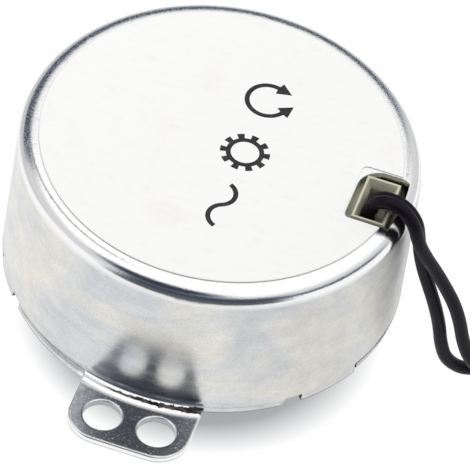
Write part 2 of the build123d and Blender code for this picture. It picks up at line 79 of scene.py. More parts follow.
def plug(tree, value, socket):
    # links another node's output, or writes a fixed value on the socket
    if isinstance(value, bpy.types.NodeSocket):
        tree.links.new(value, socket)
    else:
        socket.default_value = value


def newMaterial(name):
    material = bpy.data.materials.new(name)
    material.use_nodes = True
    tree = material.node_tree
    return material, tree, tree.nodes["Principled BSDF"]


def addNode(tree, kind, values=None, **settings):
    made = tree.nodes.new(kind)
    for key, value in settings.items():
        setattr(made, key, value)
    for key, value in (values or {}).items():
        plug(tree, value, made.inputs[key])
    return made


def mathOf(tree, operation, first, second=None):
    values = {0: first} if second is None else {0: first, 1: second}
    return addNode(tree, "ShaderNodeMath", values, operation=operation).outputs["Value"]


def multiplyOf(tree, first, *others):
    for other in others:
        first = mathOf(tree, "MULTIPLY", first, other)
    return first


def greaterOf(tree, first, *others):
    for other in others:
        first = mathOf(tree, "MAXIMUM", first, other)
    return first


def vectorOf(tree, operation, first, second=None):
    values = {0: first} if second is None else {0: first, 1: second}
    made = addNode(tree, "ShaderNodeVectorMath", values, operation=operation)
    return made.outputs["Value" if operation in ("DOT_PRODUCT", "LENGTH", "DISTANCE") else "Vector"]


def objectPattern(tree, scale):
    coords = addNode(tree, "ShaderNodeTexCoord")
    mapping = addNode(tree, "ShaderNodeMapping", {"Vector": coords.outputs["Object"], "Scale": scale})
    return mapping.outputs["Vector"]


def noiseOn(tree, scale, detail=4.0, roughness=0.55, distortion=0.0):
    noise = addNode(tree, "ShaderNodeTexNoise", {
        "Vector": objectPattern(tree, scale), "Scale": 1.0, "Detail": detail,
        "Roughness": roughness, "Distortion": distortion,
    })
    return noise.outputs["Fac"]


def rampOf(tree, factor, stops):
    ramp = addNode(tree, "ShaderNodeValToRGB", {"Fac": factor})
    elements = ramp.color_ramp.elements
    while len(elements) < len(stops):
        elements.new(0.5)
    for element, (place, colour) in zip(elements, stops):
        element.position = place
        element.color = (*colour, 1.0)
    return ramp.outputs["Color"]


def rangeOf(tree, factor, low, high, fromLow=0.3, fromHigh=0.7):
    # most of a noise pattern lies between the two default limits
    mapped = addNode(tree, "ShaderNodeMapRange", {
        "Value": factor, "From Min": fromLow, "From Max": fromHigh, "To Min": low, "To Max": high,
    })
    return mapped.outputs["Result"]


def fadeIn(tree, factor, span):
    return rangeOf(tree, factor, 0.0, 1.0, *span)


def fadeOut(tree, factor, span):
    return rangeOf(tree, factor, 1.0, 0.0, *span)


def blendColours(tree, factor, first, second, mode="MIX"):
    values = {0: factor, 6: first, 7: second}  # the mixer's sockets for colours
    return addNode(tree, "ShaderNodeMix", values, data_type="RGBA", blend_type=mode).outputs[2]


def blendValues(tree, factor, first, second):
    values = {0: factor, 2: first, 3: second}  # the mixer's sockets for plain values
    return addNode(tree, "ShaderNodeMix", values, data_type="FLOAT").outputs[0]


def bevelOf(tree, radius, samples=6):
    return addNode(tree, "ShaderNodeBevel", {"Radius": radius}, samples=samples).outputs["Normal"]


def bumpOf(tree, height, strength, distance, under=None):
    bump = addNode(tree, "ShaderNodeBump", {"Height": height, "Strength": strength, "Distance": distance})
    if under is not None:
        plug(tree, under, bump.inputs["Normal"])
    return bump.outputs["Normal"]


def patternedFinish(name, look):
    # one noise pattern gives the colour and the gloss, and it or a finer one gives the relief
    material, tree, shader = newMaterial(name)
    pattern = noiseOn(tree, **look["pattern"])
    plug(tree, rampOf(tree, pattern, look["colours"]), shader.inputs["Base Color"])
    plug(tree, rangeOf(tree, pattern, *look["roughness"]), shader.inputs["Roughness"])
    if "relief" in look:
        fine = noiseOn(tree, **look["finePattern"]) if "finePattern" in look else pattern
        rounded = bevelOf(tree, look["edge"]) if "edge" in look else None
        plug(tree, bumpOf(tree, fine, *look["relief"], rounded), shader.inputs["Normal"])
    shader.inputs["Metallic"].default_value = look.get("metallic", 0.0)
    return material


def dress(material, *names):
    for name in names:
        mesh = nodes[name].data
        mesh.materials.clear()
        mesh.materials.append(material)


# zinc-plated sheet steel: mottled warm and cool on the wall, and a little duller on the side of the leads
platedSteel = {
    "tones": [(0.36, (0.76, 0.79, 0.815)), (0.5, (0.87, 0.875, 0.86)), (0.64, (0.94, 0.915, 0.84))],
    "burnished": (0.93, 0.935, 0.93, 1.0),
    "cloud": {"scale": (80, 80, 120), "detail": 5, "roughness": 0.62, "distortion": 0.6},
    "mottle": {"scale": (330, 330, 480), "detail": 6, "roughness": 0.7, "distortion": 0.4},
    "streak": {"scale": (100, 100, 800), "detail": 4, "roughness": 0.6, "distortion": 0.3},
    "grain": {"scale": (4600, 4600, 4600), "detail": 2},
    "mottleShade": 0.86,
    "streakShade": 0.93,
    "grainShade": 0.88,
    "shadeSpan": (0.32, 0.68),
    "roughness": (0.22, 0.31),
    "handled": 0.20,
    "handledAcross": (0.006, 0.018),
    "relief": (0.06, 0.00002),
    "edge": 0.00026,
}
material, tree, shader = newMaterial("platedSteel")
coords = addNode(tree, "ShaderNodeTexCoord")
position = coords.outputs["Object"]
normal = coords.outputs["Normal"]
place = addNode(tree, "ShaderNodeSeparateXYZ", {"Vector": position})
height = place.outputs["Z"]
flat = vectorOf(tree, "MULTIPLY", position, levelPart)
radius = vectorOf(tree, "LENGTH", flat)
across = mathOf(tree, "ABSOLUTE", place.outputs["X"])
tilt = addNode(tree, "ShaderNodeSeparateXYZ", {"Vector": normal})
levelness = mathOf(tree, "ABSOLUTE", tilt.outputs["Z"])  # 0 on an upright face, 1 on a level one
earSide = mathOf(tree, "SIGN", place.outputs["Y"])
sideways = multiplyOf(tree, place.outputs["X"], earSide)  # the ears are alike after half a turn

# the corner at the closed end is burnished, with fine matt pits that break up its reflections at the back
platedCorner = {
    "heights": (0.0186, 0.0196),
    "roughness": 0.13,
    "relief": (0.4, 0.00003),
    "pits": 0.30,
    "pitPattern": {"scale": (6500, 6500, 6500), "detail": 1},
    "pitSpan": (0.50, 0.60),
    "pitsTowards": (-0.35, 1.0, 0.0),
    "pitsReach": (-0.010, 0.002),
    "pitsLeast": 0.12,
}
corner = fadeIn(tree, height, platedCorner["heights"])
pitNoise = noiseOn(tree, **platedCorner["pitPattern"])
towardsBack = vectorOf(tree, "DOT_PRODUCT", position, platedCorner["pitsTowards"])
pits = multiplyOf(
    tree,
    rangeOf(tree, pitNoise, 0.0, platedCorner["pits"], *platedCorner["pitSpan"]),
    rangeOf(tree, towardsBack, platedCorner["pitsLeast"], 1.0, *platedCorner["pitsReach"]),
    corner,
)

# ears: a dull dark film with bright specks and scuffs, rubbed off along the edges, the holes and the bend;
# its darkness is partly painted dark reflection, and where it is rubbed off it also paints bright edge
# highlights
platedEar = {
    "filmAndDarkReflection": (0.29, 0.305, 0.345, 1.0),
    "filmLeftOnWornHighlights": 0.15,
    "roughness": 0.19,
    "reach": (0.0267, 0.0273),
    "top": (0.00080, 0.00089),
    "bendReach": (0.02505, 0.0253),
    "bendAcross": (0.0083, 0.0087),
    "bendFoot": (0.00015, 0.00030),
    "wornHighlightEdge": 0.00042,
    "wornHighlightSamples": 8,
    "wornHighlightTurn": (0.90, 0.985),
    "specks": {"scale": (4200, 4200, 4200), "detail": 2},
    "speckSpan": (0.59, 0.66),
    "scuffs": {"scale": (900, 900, 900), "detail": 6, "roughness": 0.75},
    "scuffShare": (0.35, 1.0),
    "scuffSpan": (0.40, 0.66),
    "scuffMost": 0.95,
    "scuffAcross": (0.0030, 0.0078),
    "holeWallShade": (0.40, 0.41, 0.43, 1.0),
    "holeUpright": (0.2, 0.5),
    "holeAcross": (0.0062, 0.0066),
    "holeReach": (0.0331, 0.0334),
    "swellReach": (0.0271, 0.0259),
    "swellHeight": 0.00051,
}
onEar = fadeIn(tree, radius, platedEar["reach"])
onTop = fadeIn(tree, height, platedEar["top"])
onBend = multiplyOf(
    tree,
    fadeIn(tree, radius, platedEar["bendReach"]),
    fadeOut(tree, across, platedEar["bendAcross"]),
    fadeIn(tree, height, platedEar["bendFoot"]),
)
# near a rounded edge the dark film thins out: wear, and a painted edge highlight
roundedEdge = bevelOf(tree, platedEar["wornHighlightEdge"], platedEar["wornHighlightSamples"])
edgeTurn = vectorOf(tree, "DOT_PRODUCT", roundedEdge, (0.0, 0.0, 1.0))
unwornUnhighlighted = rangeOf(tree, edgeTurn, platedEar["filmLeftOnWornHighlights"], 1.0, *platedEar["wornHighlightTurn"])
# share of the ear's dark colour: partly a dull film, partly painted dark reflection
filmAndDarkReflection = multiplyOf(tree, onEar, onTop, unwornUnhighlighted)
# painted shade: a grey on the upright walls of the ear's holes
inHoleShade = multiplyOf(
    tree,
    fadeOut(tree, levelness, platedEar["holeUpright"]),
    fadeOut(tree, across, platedEar["holeAcross"]),
    onEar,
    fadeOut(tree, radius, platedEar["holeReach"]),
)
specks = fadeIn(tree, noiseOn(tree, **platedEar["specks"]), platedEar["speckSpan"])
scuffs = multiplyOf(
    tree,
    rangeOf(tree, noiseOn(tree, **platedEar["scuffs"]), *platedEar["scuffShare"], *platedEar["scuffSpan"]),
    rangeOf(tree, sideways, 0.0, platedEar["scuffMost"], *platedEar["scuffAcross"]),
)

# rim: painted shade on the cut faces in the notches and seats, along the lower edge, in the seams at the
# cover's lugs and low on the lugs, along X
platedRim = {
    "dark": (0.07, 0.07, 0.08, 1.0),
    "inside": (0.0239, 0.0241),
    "outside": (0.0253, 0.0256),
    "squareOn": (0.35, 0.6),
    "upright": (0.3, 0.5),
    "cutTop": (0.00130, 0.00136),
    "foot": (0.00008, 0.00020),
    "footShare": 0.6,
    "lugTint": (0.58, 0.60, 0.65, 1.0),
    "lugAcross": (0.02286, 0.02296),
    "lugTop": (0.00110, 0.00120),
    "seamShadeAbove": (0.00108, 0.00118),
    "seamShadeAboveEnd": (0.00140, 0.00156),
    "lugFootShade": (0.00068, 0.00080),
    "lugShadeShare": 0.9,
}
outward = vectorOf(tree, "NORMALIZE", flat)
facing = mathOf(tree, "ABSOLUTE", vectorOf(tree, "DOT_PRODUCT", outward, normal))
onRim = multiplyOf(
    tree,
    fadeIn(tree, radius, platedRim["inside"]),
    fadeOut(tree, radius, platedRim["outside"]),
)
# painted shade on the upright cut faces of the notches and seats
cutFaceShade = multiplyOf(
    tree,
    fadeOut(tree, facing, platedRim["squareOn"]),
    fadeOut(tree, levelness, platedRim["upright"]),
    onRim,
    fadeOut(tree, height, platedRim["cutTop"]),
)
# painted shade along the rim's lower edge
rimFootShade = multiplyOf(tree, onRim, rangeOf(tree, height, platedRim["footShare"], 0.0, *platedRim["foot"]))
onLug = multiplyOf(tree, onRim, fadeIn(tree, across, platedRim["lugAcross"]))
bareLug = multiplyOf(tree, onLug, fadeOut(tree, height, platedRim["lugTop"]))
# painted shade in the seam above each lug and low on the lug
aboveLug = multiplyOf(
    tree,
    fadeIn(tree, height, platedRim["seamShadeAbove"]),
    rangeOf(tree, height, platedRim["lugShadeShare"], 0.0, *platedRim["seamShadeAboveEnd"]),
)
belowLug = rangeOf(tree, height, platedRim["lugShadeShare"], 0.0, *platedRim["lugFootShade"])
lugShade = multiplyOf(tree, onLug, greaterOf(tree, aboveLug, belowLug))
# all of the rim's painted shade together
darkEdge = greaterOf(tree, cutFaceShade, rimFootShade, lugShade)

# a painted dark reflection: a ragged dark line on the bend of each ear, widening to one side
bendDarkReflection = {
    "dark": (0.024, 0.018, 0.016, 1.0),
    "radius": 0.0258,
    "along": (-0.0070, 0.0055),
    "halfWidth": (0.00010, 0.00044),
    "widening": (0.1, 1.0),
    "thinEnd": (0.05, 0.12),
    "foot": (0.0007, 0.00085),
    "top": (0.0016, 0.0018),
    "jag": {"scale": (1500, 1500, 1500), "detail": 5, "roughness": 0.7},
    "jagDepth": (-0.00020, 0.00020),
    "flecks": {"scale": (1000, 2600, 2600), "detail": 3},
    "fleckShare": (0.86, 1.0),
    "fleckSpan": (0.36, 0.54),
}
along = fadeOut(tree, sideways, bendDarkReflection["along"])
jag = rangeOf(tree, noiseOn(tree, **bendDarkReflection["jag"]), *bendDarkReflection["jagDepth"])
fromReflectionLine = mathOf(tree, "SUBTRACT", mathOf(tree, "ADD", radius, jag), bendDarkReflection["radius"])
halfWidth = rangeOf(tree, along, *bendDarkReflection["halfWidth"], *bendDarkReflection["widening"])
bendReflectionLine = multiplyOf(
    tree,
    mathOf(tree, "LESS_THAN", mathOf(tree, "ABSOLUTE", fromReflectionLine), halfWidth),
    fadeIn(tree, along, bendDarkReflection["thinEnd"]),
    fadeIn(tree, height, bendDarkReflection["foot"]),
    fadeOut(tree, height, bendDarkReflection["top"]),
    rangeOf(tree, noiseOn(tree, **bendDarkReflection["flecks"]), *bendDarkReflection["fleckShare"], *bendDarkReflection["fleckSpan"]),
)

# colour, from the mottled wall to the marks on top of it
plating = rampOf(tree, noiseOn(tree, **platedSteel["cloud"]), platedSteel["tones"])
streak = noiseOn(tree, **platedSteel["streak"])
grain = noiseOn(tree, **platedSteel["grain"])
shadeLow, shadeHigh = platedSteel["shadeSpan"]
for pattern, shade in (
    (noiseOn(tree, **platedSteel["mottle"]), platedSteel["mottleShade"]),
    (streak, platedSteel["streakShade"]),
    (grain, platedSteel["grainShade"]),
):
    tone = rampOf(tree, pattern, [(shadeLow, (shade, shade, shade)), (shadeHigh, (1.0, 1.0, 1.0))])
    plating = blendColours(tree, 1.0, plating, tone, "MULTIPLY")
# the ear's dark colour, partly a dull film and partly painted dark reflection, with bright specks and scuffs
dullAndDarkReflection = blendColours(tree, specks, platedEar["filmAndDarkReflection"], platedSteel["burnished"])
dullAndDarkReflection = blendColours(tree, scuffs, dullAndDarkReflection, platedSteel["burnished"])
polished = greaterOf(tree, corner, bareLug, onBend)
# then the burnished parts, the lugs, the ear's dark film and painted reflection, the painted shade in the
# holes, the painted dark reflection on the bends, and the rim's painted shade
for share, colour in (
    (polished, platedSteel["burnished"]),
    (bareLug, platedRim["lugTint"]),
    (filmAndDarkReflection, dullAndDarkReflection),
    (inHoleShade, platedEar["holeWallShade"]),
    (bendReflectionLine, bendDarkReflection["dark"]),
    (darkEdge, platedRim["dark"]),
):
    plating = blendColours(tree, share, plating, colour)
plug(tree, plating, shader.inputs["Base Color"])

satin = mathOf(
    tree, "ADD", rangeOf(tree, streak, *platedSteel["roughness"]),
    rangeOf(tree, place.outputs["X"], 0.0, platedSteel["handled"], *platedSteel["handledAcross"]),
)
satin = mathOf(tree, "ADD", blendValues(tree, polished, satin, platedCorner["roughness"]), pits)
plug(tree, blendValues(tree, onEar, satin, platedEar["roughness"]), shader.inputs["Roughness"])

# relief: softened edges, the swell of the ears towards their bend, the corner's grain and the streaks
swell = fadeIn(tree, radius, platedEar["swellReach"])
relief = bevelOf(tree, platedSteel["edge"])
relief = bumpOf(tree, multiplyOf(tree, swell, swell, onTop), 1.0, platedEar["swellHeight"], relief)
relief = bumpOf(tree, multiplyOf(tree, grain, corner), *platedCorner["relief"], relief)
relief = bumpOf(tree, streak, *platedSteel["relief"], relief)
plug(tree, relief, shader.inputs["Normal"])
shader.inputs["Metallic"].default_value = 1.0
dress(material, "motor_can", "front_cover", "gear_plate")

# label film: off-white, faint stains and rubbed marks, a thin brown line at its cut edge
labelFilm = {
    "white": (0.95, 0.945, 0.93, 1.0),
    "stain": (0.84, 0.76, 0.63, 1.0),
    "stains": {"scale": (95, 95, 95), "detail": 5, "roughness": 0.6},
    "stainMost": 0.35,
    "stainSpan": (0.58, 0.80),
    "rub": (0.60, 0.58, 0.55, 1.0),
    "rubs": {"scale": (420, 900, 420), "detail": 3},
    "rubMost": 0.10,
    "rubSpan": (0.55, 0.75),
    "dirt": (0.55, 0.46, 0.36, 1.0),
    "dirtMost": 0.4,
    "dirtReach": (0.02252, 0.02266),
    "gloss": {"scale": (700, 700, 700)},
    "roughness": (0.38, 0.55),
    "waves": {"scale": (260, 260, 260), "detail": 2},
    "relief": (0.06, 0.00004),
}
material, tree, shader = newMaterial("labelFilm")
position = addNode(tree, "ShaderNodeTexCoord").outputs["Object"]
radius = vectorOf(tree, "LENGTH", vectorOf(tree, "MULTIPLY", position, levelPart))
stainNoise = noiseOn(tree, **labelFilm["stains"])
stains = rangeOf(tree, stainNoise, 0.0, labelFilm["stainMost"], *labelFilm["stainSpan"])
rubNoise = noiseOn(tree, **labelFilm["rubs"])
rubs = rangeOf(tree, rubNoise, 0.0, labelFilm["rubMost"], *labelFilm["rubSpan"])
dirt = rangeOf(tree, radius, 0.0, labelFilm["dirtMost"], *labelFilm["dirtReach"])
paper = labelFilm["white"]
for share, colour in ((stains, labelFilm["stain"]), (rubs, labelFilm["rub"]), (dirt, labelFilm["dirt"])):
    paper = blendColours(tree, share, paper, colour)
plug(tree, paper, shader.inputs["Base Color"])
gloss = noiseOn(tree, **labelFilm["gloss"])
plug(tree, rangeOf(tree, gloss, *labelFilm["roughness"]), shader.inputs["Roughness"])
waves = noiseOn(tree, **labelFilm["waves"])
plug(tree, bumpOf(tree, waves, *labelFilm["relief"]), shader.inputs["Normal"])
dress(material, "rating_label")

# bobbin plastic: khaki and moulded, with painted shade that darkens it down inside
bobbinPlastic = {
    "pattern": {"scale": (380, 380, 380), "detail": 4},
    "colours": [(0.3, (0.53, 0.515, 0.375)), (0.65, (0.71, 0.695, 0.545))],
    "shade": (0.40, 1.0),
    "shadeHeights": (0.0187, 0.0211),
    "roughness": (0.42, 0.6),
    "finePattern": {"scale": (2600, 2600, 2600), "detail": 2},
    "relief": (0.12, 0.00003),
    "edge": 0.00012,
}
material = patternedFinish("bobbinPlastic", bobbinPlastic)
tree = material.node_tree
shader = tree.nodes["Principled BSDF"]
khaki = shader.inputs["Base Color"].links[0].from_socket
place = addNode(tree, "ShaderNodeSeparateXYZ", {"Vector": objectPattern(tree, (1, 1, 1))})
# painted shade: darker towards the bottom of the tower
shade = rangeOf(tree, place.outputs["Z"], *bobbinPlastic["shade"], *bobbinPlastic["shadeHeights"])
plug(tree, blendColours(tree, 1.0, khaki, shade, "MULTIPLY"), shader.inputs["Base Color"])
dress(material, "coil_bobbin")

# bright turned steel: pins, posts, shaft
brightSteel = {
    "pattern": {"scale": (500, 500, 9000), "detail": 3},
    "colours": [(0.3, (0.50, 0.51, 0.53)), (0.7, (0.68, 0.68, 0.67))],
    "roughness": (0.18, 0.34),
    "relief": (0.08, 0.00002),
    "edge": 0.00012,
    "metallic": 1.0,
}
material = patternedFinish("brightSteel", brightSteel)
dress(material, "output_shaft", "shaft_washer", "spacer_posts", "centre_pin", "rotor_washer", "rotor_clip")
dress(material, "first_axle", "second_axle", "third_axle")

# sintered brass of the bush, and the terminal pins
bushBrass = {
    "pattern": {"scale": (1800, 1800, 1800), "detail": 4, "roughness": 0.65},
    "colours": [(0.35, (0.42, 0.28, 0.12)), (0.6, (0.66, 0.48, 0.22))],
    "roughness": (0.28, 0.45),
    "relief": (0.15, 0.00003),
    "edge": 0.00012,
    "metallic": 1.0,
}
material = patternedFinish("bushBrass", bushBrass)
dress(material, "shaft_bush", "terminal_pins")

# enamelled copper, wound in fine turns
copperWire = {
    "turns": (60, 60, 1600),
    "unevenness": {"Scale": 1.0, "Distortion": 0.6, "Detail": 2.0},
    "colours": [(0.1, (0.22, 0.07, 0.025)), (0.8, (0.62, 0.26, 0.11))],
    "roughness": 0.3,
    "relief": (0.4, 0.00005),
    "metallic": 0.8,
}
material, tree, shader = newMaterial("copperWire")
turns = addNode(tree, "ShaderNodeTexWave", copperWire["unevenness"], bands_direction="Z")
plug(tree, objectPattern(tree, copperWire["turns"]), turns.inputs["Vector"])
plug(tree, rampOf(tree, turns.outputs["Fac"], copperWire["colours"]), shader.inputs["Base Color"])
plug(tree, bumpOf(tree, turns.outputs["Fac"], *copperWire["relief"]), shader.inputs["Normal"])
shader.inputs["Metallic"].default_value = copperWire["metallic"]
shader.inputs["Roughness"].default_value = copperWire["roughness"]
dress(material, "coil_winding")

# amber tape round the winding
coilTape = {
    "pattern": {"scale": (120, 120, 700), "detail": 3},
    "colours": [(0.35, (0.42, 0.24, 0.03)), (0.65, (0.58, 0.38, 0.05))],
    "roughness": (0.12, 0.28),
    "relief": (0.1, 0.00005),
}
material = patternedFinish("coilTape", coilTape)
dress(material, "coil_tape")

# pressed ferrite of the rotor
ferrite = {
    "pattern": {"scale": (3200, 3200, 3200), "detail": 5, "roughness": 0.7},
    "colours": [(0.4, (0.018, 0.018, 0.02)), (0.7, (0.06, 0.06, 0.062))],
    "roughness": (0.5, 0.75),
    "relief": (0.2, 0.00004),
    "edge": 0.0002,
}
material = patternedFinish("ferrite", ferrite)
dress(material, "rotor_magnet")

# natural acetal of the gears, with a trace of grease
gearPlastic = {
    "pattern": {"scale": (300, 300, 300), "detail": 4},
    "colours": [(0.45, (0.80, 0.78, 0.71)), (0.72, (0.66, 0.61, 0.48))],
    "roughness": (0.5, 0.25),
    "finePattern": {"scale": (2200, 2200, 2200), "detail": 2},
    "relief": (0.08, 0.00003),
    "edge": 0.00008,
}
material = patternedFinish("gearPlastic", gearPlastic)
dress(material, "rotor_hub", "first_gear", "second_gear", "third_gear", "output_gear")

# tinned strands at the leads' ends
tinnedWire = {
    "pattern": {"scale": (900, 5200, 5200), "detail": 3},
    "colours": [(0.3, (0.38, 0.38, 0.37)), (0.65, (0.70, 0.70, 0.68))],
    "roughness": (0.22, 0.42),
    "relief": (0.5, 0.00008),
    "metallic": 1.0,
}
material = patternedFinish("tinnedWire", tinnedWire)
dress(material, "lead_ends")
print("CAD nodes dressed")

# leads: soft black insulation, each route smooth along its own points, in metres
leadSkin = {
    "pattern": {"scale": (420, 420, 420), "detail": 5, "roughness": 0.65},
    "colours": [(0.42, (0.0042, 0.0034, 0.0058)), (0.74, (0.011, 0.0092, 0.0135))],
    "roughness": (0.38, 0.52),
    "finePattern": {"scale": (1500, 1500, 1500), "detail": 2},
    "relief": (0.08, 0.00004),
    "shine": 0.16,
    "shineTint": (0.88, 0.78, 1.0, 1.0),
    "diameter": 0.0017,
    "curveOrder": 3,
    "steps": 10,
    "roundSteps": 5,
}
floorLine = -0.00905
frontLead = {
    "node": "lead_front",
    "length": 0.0883,
    "points": [
        (0.0199, -0.00225, 0.0187), (0.0199, -0.0026, 0.0219), (0.0217, -0.0031, 0.0239),
        (0.0243, -0.00345, 0.0239), (0.0261, -0.0038, 0.022), (0.02695, -0.00375, 0.0192),
        (0.028, -0.0029, 0.0163), (0.0294, -0.00185, 0.0132), (0.0309, -0.001, 0.0099),
        (0.0323, -0.0003, 0.0066), (0.0333, 0.0002, 0.0032), (0.034, 0.0006, -0.0003),
        (0.0353, 0.0014, -0.0042), (0.038, 0.003, -0.0079), (0.042, 0.0056, floorLine),
        (0.0452, 0.0104, floorLine), (0.0465, 0.0166, floorLine), (0.0459, 0.0234, floorLine),
        (0.0437, 0.03, floorLine), (0.0402, 0.036, floorLine), (0.0356, 0.0412, floorLine),
    ],
}
rearLead = {
    "node": "lead_rear",
    "length": 0.0874,
    "points": [
        (0.0199, -0.00045, 0.0187), (0.0199, -0.0005, 0.0208), (0.0216, -0.0012, 0.0226),
        (0.0242, -0.0017, 0.02265), (0.02605, -0.00205, 0.0209), (0.0266, -0.0019, 0.018),
        (0.027, -0.00135, 0.0148), (0.0278, -0.00085, 0.0114), (0.0289, -0.0004, 0.0081),
        (0.0299, 0.00005, 0.0048), (0.0307, 0.00055, 0.0014), (0.0312, 0.001, -0.0021),
        (0.0321, 0.00175, -0.0056), (0.0345, 0.0036, -0.0084), (0.0378, 0.0066, floorLine),
        (0.0402, 0.0112, floorLine), (0.0414, 0.017, floorLine), (0.041, 0.0234, floorLine),
        (0.0391, 0.0296, floorLine), (0.0358, 0.0352, floorLine), (0.0316, 0.04, floorLine),
        (0.0278, 0.0436, floorLine),
    ],
}
leadMaterial = patternedFinish("leadSkin", leadSkin)
shader = leadMaterial.node_tree.nodes["Principled BSDF"]
shader.inputs["Specular IOR Level"].default_value = leadSkin["shine"]
shader.inputs["Specular Tint"].default_value = leadSkin["shineTint"]


def layLead(lead):
    curve = bpy.data.curves.new(lead["node"] + "_cord", "CURVE")
    curve.dimensions = "3D"
    spline = curve.splines.new("NURBS")
    spline.points.add(len(lead["points"]) - 1)
    for point, place in zip(spline.points, lead["points"]):
        point.co = (*place, 1.0)
    spline.order_u = leadSkin["curveOrder"]
    spline.use_endpoint_u = True
    curve.resolution_u = leadSkin["steps"]
    curve.bevel_depth = leadSkin["diameter"] / 2
    curve.bevel_resolution = leadSkin["roundSteps"]
    curve.use_fill_caps = True
    cord = bpy.data.objects.new(lead["node"] + "_cord", curve)
    bpy.context.scene.collection.objects.link(cord)
    cord.data.materials.append(leadMaterial)
    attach(cord, "housing")
    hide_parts(lead["node"])


layLead(frontLead)
layLead(rearLead)
print("leads laid")

# generic print on the label, in thin black ink: a wave, a gear and a two-way turning arrow
labelPrint = {
    "height": 0.02141,
    "ink": 0.00003,
    "stroke": 0.00062,
    "pattern": {"scale": (900, 900, 900), "detail": 5, "roughness": 0.65},
    "colours": [(0.45, (0.010, 0.010, 0.012)), (0.78, (0.055, 0.055, 0.058))],
    "roughness": (0.45, 0.65),
}
inkMaterial = patternedFinish("printInk", labelPrint)
zAxis = (0.0, 0.0, 1.0)
origin = (0.0, 0.0, 0.0)


def selectEdges(test):
    # edges whose two ends both pass the test
    bpy.ops.mesh.select_mode(type="EDGE")
    bpy.ops.mesh.select_all(action="DESELECT")
    edited = bmesh.from_edit_mesh(bpy.context.object.data)
    for edge in edited.edges:
        if all(test(end.co) for end in edge.verts):
            edge.select_set(True)
    bmesh.update_edit_mesh(bpy.context.object.data)


def startStroke(radius):
    # a short piece of stroke on the X axis, with the edge that lies on the axis ready to be spun
    width = labelPrint["stroke"]
    bpy.ops.object.select_all(action="DESELECT")
    bpy.ops.mesh.primitive_plane_add(size=1.0)
    bpy.ops.object.mode_set(mode="EDIT")
    bpy.ops.mesh.select_all(action="SELECT")
    bpy.ops.transform.resize(value=(width, width / 4, 1.0))
    bpy.ops.transform.translate(value=(radius, width / 8, 0.0))
    selectEdges(lambda place: abs(place.y) < width / 16)


def inkOn(name, turn, middle, place):
    # turns the drawn shape to the reading direction, lays it on the label and gives the ink its thickness
    piece = bpy.context.object
    piece.name = name
    bpy.ops.mesh.select_all(action="SELECT")
    bpy.ops.transform.translate(value=(-middle[0], -middle[1], 0.0))
    bpy.ops.transform.rotate(value=turn, orient_axis="Z", center_override=origin)
    bpy.ops.transform.translate(value=(*place, labelPrint["height"]))
    bpy.ops.mesh.normals_make_consistent(inside=False)
    bpy.ops.object.mode_set(mode="OBJECT")
    thickness = piece.modifiers.new("ink", "SOLIDIFY")
    thickness.thickness = labelPrint["ink"]
    thickness.offset = 0.0
    bpy.ops.object.modifier_apply(modifier=thickness.name)
    piece.data.materials.append(inkMaterial)
    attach(piece, "housing")


# wave: two arcs that bend opposite ways and meet without a kink
printWave = {"radius": 0.0020, "sweep": 130, "steps": 16, "place": (0.003, -0.0095)}
waveSweep = radians(printWave["sweep"])
startStroke(printWave["radius"])
bpy.ops.mesh.spin(steps=printWave["steps"], angle=waveSweep, center=origin, axis=zAxis)
waveMiddle = Vector((cos(waveSweep), -sin(waveSweep), 0.0)) * printWave["radius"]
bpy.ops.mesh.spin(steps=printWave["steps"], angle=waveSweep, center=waveMiddle * 2, axis=(0.0, 0.0, -1.0))
waveChord = waveMiddle - Vector((printWave["radius"], 0.0, 0.0))
inkOn("print_wave", waveChord.xy.angle_signed(Vector((0.0, 1.0))), waveMiddle, printWave["place"])

# gear: a disc inset to a ring, with every second pair of its outer edges drawn out to a tooth
printGear = {
    "radius": 0.0024,
    "corners": 40,
    "toothSteps": 4,
    "tooth": 1.30,
    "outlineShare": 0.98,  # the middle of an outer edge lies just inside the circle
    "place": (0.003, 0.0),
}
bpy.ops.object.select_all(action="DESELECT")
bpy.ops.mesh.primitive_circle_add(vertices=printGear["corners"], radius=printGear["radius"], fill_type="NGON")
bpy.ops.object.mode_set(mode="EDIT")
bpy.ops.mesh.select_all(action="SELECT")
bpy.ops.mesh.inset(thickness=labelPrint["stroke"])
bpy.ops.mesh.delete(type="FACE")
bpy.ops.mesh.select_mode(type="EDGE")
bpy.ops.mesh.select_all(action="DESELECT")
edited = bmesh.from_edit_mesh(bpy.context.object.data)
onOutline = printGear["radius"] * printGear["outlineShare"]
for edge in edited.edges:
    middle = (edge.verts[0].co + edge.verts[1].co) / 2
    turns = middle.xy.angle_signed(Vector((1.0, 0.0))) / (2 * pi)
    step = int((turns * printGear["corners"]) % printGear["corners"]) % printGear["toothSteps"]
    if middle.length > onOutline and step < printGear["toothSteps"] / 2:
        edge.select_set(True)
bmesh.update_edit_mesh(bpy.context.object.data)
bpy.ops.mesh.extrude_edges_move()
bpy.ops.transform.resize(value=(printGear["tooth"], printGear["tooth"], 1.0), center_override=origin)
inkOn("print_gear", 0.0, (0.0, 0.0), printGear["place"])

# two-way arrow: one arc with a head at each end
printArrow = {
    "radius": 0.0026,
    "sweep": 250,
    "steps": 30,
    "headWidth": 3.2,
    "headLength": 0.0018,
    "headStart": 0.02,
    "place": (0.003, 0.0095),
}
arrowSweep = radians(printArrow["sweep"])
startStroke(printArrow["radius"])
bpy.ops.mesh.spin(steps=printArrow["steps"], angle=arrowSweep, center=origin, axis=zAxis)


def arrowHead(middle, onward):
    # widens the selected end of the stroke and closes it to a tip
    shoulder = tuple(onward * printArrow["headStart"])
    bpy.ops.mesh.extrude_edges_move(TRANSFORM_OT_translate={"value": shoulder})
    bpy.ops.transform.resize(value=(printArrow["headWidth"],) * 3, center_override=tuple(middle))
    bpy.ops.mesh.extrude_edges_move(TRANSFORM_OT_translate={"value": tuple(onward)})
    bpy.ops.mesh.merge(type="CENTER")


